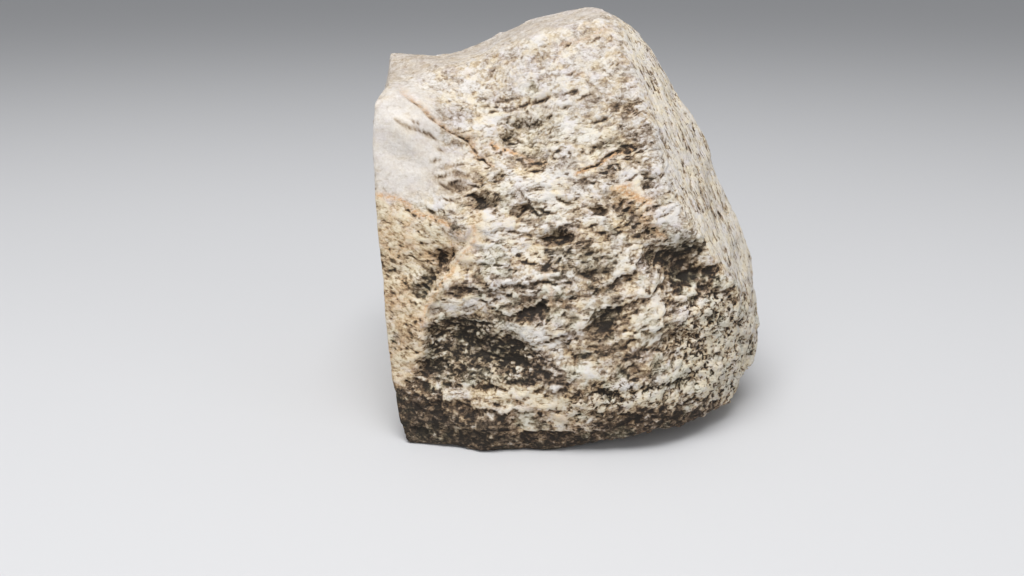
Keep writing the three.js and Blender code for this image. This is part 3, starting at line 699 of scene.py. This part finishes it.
attribute("tone", tone)
attribute("warm", warm)
attribute("olive", olive)
attribute("rust", rust)
attribute("smoothness", np.clip(zone_pale - 0.6 * stain_and_shade, 0, 1))
attribute("rough", zone_rough * (np.interp(pw[:, 1], [60, 105, 170], [0.15, 0.55, 1.0]) * front + 0.8 * hidden))
attribute("unseen", hidden)
attribute("face_right", zone_right * (1 - 0.35 * hidden))
attribute("face_tan", zone_tan)
attribute("grainy", np.clip(zone_grain * (1 - zone_base) + 0.2 * zone_base + 0.55 * z_pit * front, 0, 1))

stone = bpy.data.objects.new("meteorite_stone", mesh)
bpy.context.scene.collection.objects.link(stone)

# ------------------------------------------------------------------------------------------------
# Material
# ------------------------------------------------------------------------------------------------
mat = bpy.data.materials.new("weathered_chondrite")
mat.use_nodes = True
nt = mat.node_tree
nt.nodes.clear()
out = nt.nodes.new("ShaderNodeOutputMaterial")
bsdf = nt.nodes.new("ShaderNodeBsdfPrincipled")
nt.links.new(bsdf.outputs["BSDF"], out.inputs["Surface"])


def link(a, b):
    nt.links.new(a, b)


def attr(name):
    n = nt.nodes.new("ShaderNodeAttribute")
    n.attribute_name = name
    return n.outputs["Fac"]


def math_node(op, a, b=None, clamp=False):
    n = nt.nodes.new("ShaderNodeMath")
    n.operation = op
    n.use_clamp = clamp
    for i, x in enumerate((a, b)):
        if x is None:
            continue
        if isinstance(x, (int, float)):
            n.inputs[i].default_value = x
        else:
            link(x, n.inputs[i])
    return n.outputs[0]


def madd(a, k, b):
    n = nt.nodes.new("ShaderNodeMath")
    n.operation = "MULTIPLY_ADD"
    for i, x in enumerate((a, k, b)):
        if isinstance(x, (int, float)):
            n.inputs[i].default_value = x
        else:
            link(x, n.inputs[i])
    return n.outputs[0]


def mix(fac, a, b, mode="MIX"):
    n = nt.nodes.new("ShaderNodeMix")
    n.data_type = "RGBA"
    n.blend_type = mode
    n.clamp_factor = True
    for sock, x in ((n.inputs[0], fac), (n.inputs[6], a), (n.inputs[7], b)):
        if isinstance(x, (int, float)):
            sock.default_value = x
        elif isinstance(x, tuple):
            sock.default_value = (*x, 1.0)
        else:
            link(x, sock)
    return n.outputs[2]


def ramp(fac, stops, mode="LINEAR"):
    n = nt.nodes.new("ShaderNodeValToRGB")
    n.color_ramp.interpolation = mode
    while len(n.color_ramp.elements) < len(stops):
        n.color_ramp.elements.new(0.5)
    for e, (at, col) in zip(n.color_ramp.elements, stops):
        e.position = at
        e.color = (*col, 1.0)
    link(fac, n.inputs["Fac"])
    return n.outputs["Color"]


def remap(x, a, b, lo=0.0, hi=1.0):
    n = nt.nodes.new("ShaderNodeMapRange")
    n.interpolation_type = "SMOOTHSTEP"
    n.inputs["From Min"].default_value = a
    n.inputs["From Max"].default_value = b
    n.inputs["To Min"].default_value = lo
    n.inputs["To Max"].default_value = hi
    link(x, n.inputs["Value"])
    return n.outputs["Result"]


coord = nt.nodes.new("ShaderNodeTexCoord")
scaled = nt.nodes.new("ShaderNodeVectorMath")
scaled.operation = "SCALE"
scaled.inputs["Scale"].default_value = 1000.0
link(coord.outputs["Object"], scaled.inputs[0])
P = scaled.outputs["Vector"]                       # position in mm


def placed(rot_y, sx, sy, sz, loc=(0, 0, 0)):
    n = nt.nodes.new("ShaderNodeMapping")
    n.inputs["Rotation"].default_value = (0, math.radians(rot_y), 0)
    n2 = nt.nodes.new("ShaderNodeMapping")
    n2.inputs["Scale"].default_value = (sx, sy, sz)
    n2.inputs["Location"].default_value = loc
    link(P, n.inputs["Vector"])
    link(n.outputs["Vector"], n2.inputs["Vector"])
    return n2.outputs["Vector"]


def noise_tex(vec, detail=2.0, rough=0.55, scale=1.0, distort=0.0):
    n = nt.nodes.new("ShaderNodeTexNoise")
    n.inputs["Scale"].default_value = scale
    n.inputs["Detail"].default_value = detail
    n.inputs["Roughness"].default_value = rough
    n.inputs["Distortion"].default_value = distort
    link(vec, n.inputs["Vector"])
    return n.outputs["Fac"]


def voro(vec, scale=1.0, feature="F1", rand=1.0):
    n = nt.nodes.new("ShaderNodeTexVoronoi")
    n.feature = feature
    n.inputs["Scale"].default_value = scale
    n.inputs["Randomness"].default_value = rand
    link(vec, n.inputs["Vector"])
    return n


n_dash = noise_tex(placed(6, 1.9, 1.9, 3.4), 3.0, 0.64)            # level flecks, under 1 mm long
n_slant = noise_tex(placed(-26, 1.5, 1.8, 4.8, (5, 3, 1)), 3.0, 0.62)
n_steep = noise_tex(placed(-66, 0.45, 1.0, 2.4, (2, 8, 4)), 3.0, 0.6, distort=0.5)
n_fine = noise_tex(P, 4.0, 0.65, 3.4)
n_mid = noise_tex(P, 3.0, 0.6, 0.55)
n_big = noise_tex(P, 2.0, 0.5, 0.16)
v_grit = voro(P, 2.1)

# angular chips, about 0.8 and 0.4 mm across, each with a shade and hue of its own
n_bend = nt.nodes.new("ShaderNodeTexNoise")
n_bend.inputs["Scale"].default_value = 1.5
n_bend.inputs["Detail"].default_value = 2.0
link(P, n_bend.inputs["Vector"])
bent_p = nt.nodes.new("ShaderNodeVectorMath")
bent_p.operation = "MULTIPLY_ADD"
bent_p.inputs[1].default_value = (0.8, 0.8, 0.8)
link(n_bend.outputs["Color"], bent_p.inputs[0])
link(P, bent_p.inputs[2])


def chip(rot_y, sx, sy, sz):
    m1 = nt.nodes.new("ShaderNodeMapping")
    m1.inputs["Rotation"].default_value = (0, math.radians(rot_y), 0)
    m2 = nt.nodes.new("ShaderNodeMapping")
    m2.inputs["Scale"].default_value = (sx, sy, sz)
    link(bent_p.outputs["Vector"], m1.inputs["Vector"])
    link(m1.outputs["Vector"], m2.inputs["Vector"])
    sep = nt.nodes.new("ShaderNodeSeparateColor")
    link(voro(m2.outputs["Vector"]).outputs["Color"], sep.inputs["Color"])
    return math_node("SUBTRACT", sep.outputs[0], 0.5), math_node("SUBTRACT", sep.outputs[1], 0.5)


chip_a, chip_ah = chip(7, 1.1, 1.2, 1.7)
chip_b, chip_bh = chip(-9, 2.1, 2.2, 3.2)
n_line = noise_tex(placed(-66, 0.16, 0.5, 0.85, (1, 5, 3)), 2.0, 0.55, distort=0.7)
wave = math_node("ABSOLUTE", math_node("SUBTRACT", math_node("FRACT", math_node("MULTIPLY", n_line, 6.0)), 0.5))
thin = remap(wave, 0.0, 0.14, 1.0, 0.0)             # thin wavy lines on the right face
n_steep2 = noise_tex(placed(-66, 0.42, 1.6, 4.2, (7, 2, 9)), 2.0, 0.6, distort=0.6)
n_short = noise_tex(placed(9, 0.85, 1.1, 3.1, (4, 6, 8)), 2.0, 0.55, distort=0.35)
dashes = math_node("MULTIPLY", remap(n_short, 0.565, 0.645), remap(n_mid, 0.36, 0.56, 0.35, 1.0))   # short dashes, painted dark as shade under tiny ledges
m_edge = nt.nodes.new("ShaderNodeMapping")
m_edge.inputs["Scale"].default_value = (1.25, 1.3, 1.7)
link(bent_p.outputs["Vector"], m_edge.inputs["Vector"])
edge = voro(m_edge.outputs["Vector"], feature="DISTANCE_TO_EDGE").outputs["Distance"]
gaps = math_node("MULTIPLY", remap(edge, 0.03, 0.22, 1.0, 0.0), remap(n_dash, 0.38, 0.56, 1.0, 0.1))   # gaps between grains, painted dark as the shade between them

a_tone, a_warm, a_olive, a_rust = attr("tone"), attr("warm"), attr("olive"), attr("rust")
a_smooth, a_rough, a_right, a_tan, a_grainy = attr("smoothness"), attr("rough"), attr("face_right"), attr("face_tan"), attr("grainy")

# tone: 0 in the pits, 1 on crests, the pits partly painted shade and the crests partly wear and partly painted light,
# with fine flecks of its own
t_dash = math_node("SUBTRACT", n_dash, 0.5)
t_fine = math_node("SUBTRACT", n_fine, 0.5)
a_unseen = attr("unseen")            # a coarser grid there, so more of the detail lies here
amount = madd(a_unseen, 0.35, madd(a_smooth, -0.28, 0.50))
t = madd(t_dash, amount, a_tone)
t = madd(t_fine, madd(a_unseen, 0.3, madd(a_smooth, -0.2, 0.64)), t)
chipped = madd(a_smooth, -0.75, 1.0)
# painted shade: the dashes darken the tone
t = madd(math_node("MULTIPLY", math_node("MULTIPLY", dashes, a_rough), madd(a_grainy, -0.7, 1.0)), -0.37, t)
t = madd(a_rough, 0.02, t)
t = madd(math_node("MULTIPLY", chip_a, chipped), 0.24, t)
t = madd(math_node("MULTIPLY", chip_b, chipped), 0.26, t)
t = madd(math_node("MULTIPLY", remap(n_steep2, 0.34, 0.52, 1.0, 0.0), a_right), -0.46, t)
t = madd(math_node("MULTIPLY", math_node("MULTIPLY", thin, remap(n_mid, 0.35, 0.6, 0.4, 1.0)), a_right), -0.52, t)
t = madd(a_right, 0.20, t)
t = madd(math_node("MULTIPLY", math_node("SUBTRACT", n_slant, 0.5), a_tan), 1.25, t)
t = madd(math_node("MULTIPLY", math_node("SUBTRACT", n_steep, 0.5), a_right), 0.35, t)
# painted shade in the gaps between grains
t = madd(math_node("MULTIPLY", gaps, a_grainy), -0.80, t)
t = madd(math_node("MULTIPLY", chip_b, a_grainy), 0.30, t)
t = madd(a_grainy, 0.17, t)
neutral = ramp(t, [(0.0, (0.019, 0.0132, 0.0085)), (0.22, (0.056, 0.037, 0.0235)), (0.42, (0.172, 0.122, 0.082)), (0.62, (0.365, 0.302, 0.24)), (0.82, (0.582, 0.533, 0.482)), (1.0, (0.70, 0.663, 0.625))])
warmc = ramp(t, [(0.0, (0.018, 0.011, 0.006)), (0.22, (0.065, 0.040, 0.021)), (0.42, (0.24, 0.155, 0.085)), (0.62, (0.47, 0.35, 0.21)), (0.82, (0.64, 0.525, 0.36)), (1.0, (0.74, 0.65, 0.49))])
olivec = ramp(t, [(0.0, (0.016, 0.013, 0.008)), (0.22, (0.048, 0.040, 0.023)), (0.42, (0.15, 0.128, 0.08)), (0.62, (0.34, 0.31, 0.225)), (0.82, (0.56, 0.53, 0.43)), (1.0, (0.68, 0.655, 0.57))])
n_hue = noise_tex(placed(10, 0.9, 0.9, 1.3, (11, 4, 7)), 3.0, 0.65)
hue = madd(math_node("SUBTRACT", n_mid, 0.5), madd(a_smooth, -0.6, 0.95), a_warm)
hue = madd(math_node("SUBTRACT", n_hue, 0.5), madd(a_smooth, -0.7, 1.15), hue)
hue = madd(math_node("MULTIPLY", chip_ah, chipped), 0.5, hue)
hue = madd(math_node("MULTIPLY", chip_bh, chipped), 0.35, hue)
colour = mix(math_node("ADD", hue, 0.0, clamp=True), neutral, warmc)
colour = mix(math_node("MULTIPLY", a_olive, remap(n_mid, 0.3, 0.6, 0.35, 1.0)), colour, olivec)
rustc = mix(remap(n_fine, 0.35, 0.7), (0.50, 0.25, 0.10), (0.72, 0.50, 0.28))
colour = mix(math_node("MULTIPLY", math_node("MULTIPLY", a_rust, remap(n_dash, 0.35, 0.6, 0.2, 1.0)), remap(t, 0.25, 0.6)), colour, rustc)
n_lav = noise_tex(placed(-20, 0.5, 0.5, 0.8, (3, 9, 2)), 3.0, 0.6)
colour = mix(math_node("MULTIPLY", remap(n_lav, 0.50, 0.66), madd(a_smooth, -0.3, 0.75)), colour, (0.955, 0.94, 1.0), "MULTIPLY")
link(colour, bsdf.inputs["Base Color"])

rough = madd(a_smooth, -0.16, 0.76)
rough = madd(t_fine, 0.25, rough)
link(rough, bsdf.inputs["Roughness"])
bsdf.inputs["Specular IOR Level"].default_value = 0.4

hgt = madd(t_fine, madd(a_smooth, -0.05, 0.09), 0.0)
hgt = madd(t_dash, madd(a_unseen, 0.10, madd(a_smooth, -0.05, 0.09)), hgt)
hgt = madd(math_node("MULTIPLY", v_grit.outputs["Distance"], a_grainy), -0.10, hgt)
hgt = madd(math_node("MULTIPLY", gaps, a_grainy), -0.12, hgt)
hgt = madd(math_node("MULTIPLY", math_node("SUBTRACT", n_steep, 0.5), a_right), 0.16, hgt)
hgchipped = madd(a_smooth, -0.75, 1.0)
t = madd(math_node("MULTIPLY", math_node("MULTIPLY", dashes, a_rough), madd(a_grainy, -0.7, 1.0)), -0.37, t)
t = madd(a_rough, 0.02, t)
t = madd(math_node("MULTIPLY", chip_a, chipped), 0.24, t)
t = madd(math_node("MULTIPLY", chip_b, chipped), 0.26, t)
t = madd(math_node("MULTIPLY", remap(n_steep2, 0.34, 0.52, 1.0, 0.0), a_right), -0.46, t)
t = madd(math_node("MULTIPLY", math_node("MULTIPLY", thin, remap(n_mid, 0.35, 0.6, 0.4, 1.0)), a_right), -0.52, t)
t = madd(a_right, 0.20, t)
t = madd(math_node("MULTIPLY", math_node("SUBTRACT", n_slant, 0.5), a_tan), 0.16, hgt)
hgt = madd(math_node("MULTIPLY", dashes, a_rough), -0.06, hgt)
hgt = madd(math_node("MULTIPLY", chip_a, chipped), 0.05, hgt)
hgt = madd(math_node("MULTIPLY", chip_b, chipped), 0.04, hgt)
hgt = madd(math_node("MULTIPLY", math_node("SUBTRACT", n_steep2, 0.5), a_right), 0.16, hgt)
hgt = madd(math_node("MULTIPLY", thin, a_right), -0.05, hgt)
bump = nt.nodes.new("ShaderNodeBump")
bump.inputs["Strength"].default_value = 0.85
bump.inputs["Distance"].default_value = 0.001
link(hgt, bump.inputs["Height"])
link(bump.outputs["Normal"], bsdf.inputs["Normal"])

mesh.materials.append(mat)
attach(stone, "root")
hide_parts("meteorite")

# ------------------------------------------------------------------------------------------------
# Floor, light and camera
# ------------------------------------------------------------------------------------------------
floor_mesh = bpy.data.meshes.new("floor")
ring = [(3.0 * math.cos(t), 3.0 * math.sin(t), 0.0) for t in np.linspace(0, 2 * math.pi, 97)[:-1]]
floor_mesh.from_pydata([tuple(map(float, v)) for v in ring], [], [list(range(96))])
floor = bpy.data.objects.new("floor", floor_mesh)
bpy.context.scene.collection.objects.link(floor)
fmat = bpy.data.materials.new("pale_floor")
fmat.use_nodes = True
fb = fmat.node_tree.nodes["Principled BSDF"]
fb.inputs["Base Color"].default_value = (0.62, 0.62, 0.63, 1)
fb.inputs["Roughness"].default_value = 0.8
floor_mesh.materials.append(fmat)

world = bpy.data.worlds.new("studio")
bpy.context.scene.world = world
world.use_nodes = True
bg = world.node_tree.nodes["Background"]
bg.inputs["Color"].default_value = (0.95, 0.97, 1.0, 1)
# brighter overhead than at the horizon, where it meets the far floor
wn, wl = world.node_tree.nodes, world.node_tree.links
sky = wn.new("ShaderNodeTexCoord")
split = wn.new("ShaderNodeSeparateXYZ")
rise = wn.new("ShaderNodeMapRange")
rise.inputs["From Min"].default_value = 0.0
rise.inputs["From Max"].default_value = 1.0
rise.inputs["To Min"].default_value = 0.24
rise.inputs["To Max"].default_value = 0.46
wl.new(sky.outputs["Generated"], split.inputs["Vector"])
wl.new(split.outputs["Z"], rise.inputs["Value"])
wl.new(rise.outputs["Result"], bg.inputs["Strength"])


def softbox(name, at, to, size, watts, colour=(1, 1, 1)):
    data = bpy.data.lights.new(name, "AREA")
    data.shape = "RECTANGLE"
    data.size, data.size_y = size
    data.energy = watts
    data.color = colour
    o = bpy.data.objects.new(name, data)
    o.location = at
    o.rotation_euler = (Vector(to) - Vector(at)).to_track_quat("-Z", "Y").to_euler()
    bpy.context.scene.collection.objects.link(o)


softbox("key_overhead", (-0.05, -0.16, 0.46), (0.0, 0.0, 0.02), (0.32, 0.26), 2.2)
softbox("fill_front", (-0.16, -0.40, 0.20), (0.0, 0.0, 0.025), (0.25, 0.2), 0.28)
softbox("fill_right", (0.42, -0.28, 0.18), (0.0, 0.0, 0.02), (0.25, 0.2), 0.26)

cam_data = bpy.data.cameras.new("camera")
cam_data.sensor_fit = "HORIZONTAL"
cam_data.sensor_width = 36.0
cam_data.lens = FOCAL / 1024.0 * 36.0
cam_data.clip_start = 0.005
cam_data.clip_end = 20.0
camera = bpy.data.objects.new("camera", cam_data)
axes = Matrix(((RIGHT[0], UPWARD[0], -FORWARD[0]), (RIGHT[1], UPWARD[1], -FORWARD[1]), (RIGHT[2], UPWARD[2], -FORWARD[2])))
camera.matrix_world = Matrix.Translation(Vector(EYE * MM)) @ axes.to_quaternion().to_matrix().to_4x4()
bpy.context.scene.collection.objects.link(camera)
bpy.context.scene.camera = camera

bpy.context.scene.view_settings.view_transform = "Standard"
bpy.context.scene.view_settings.look = "None"
bpy.context.scene.view_settings.exposure = 0.0
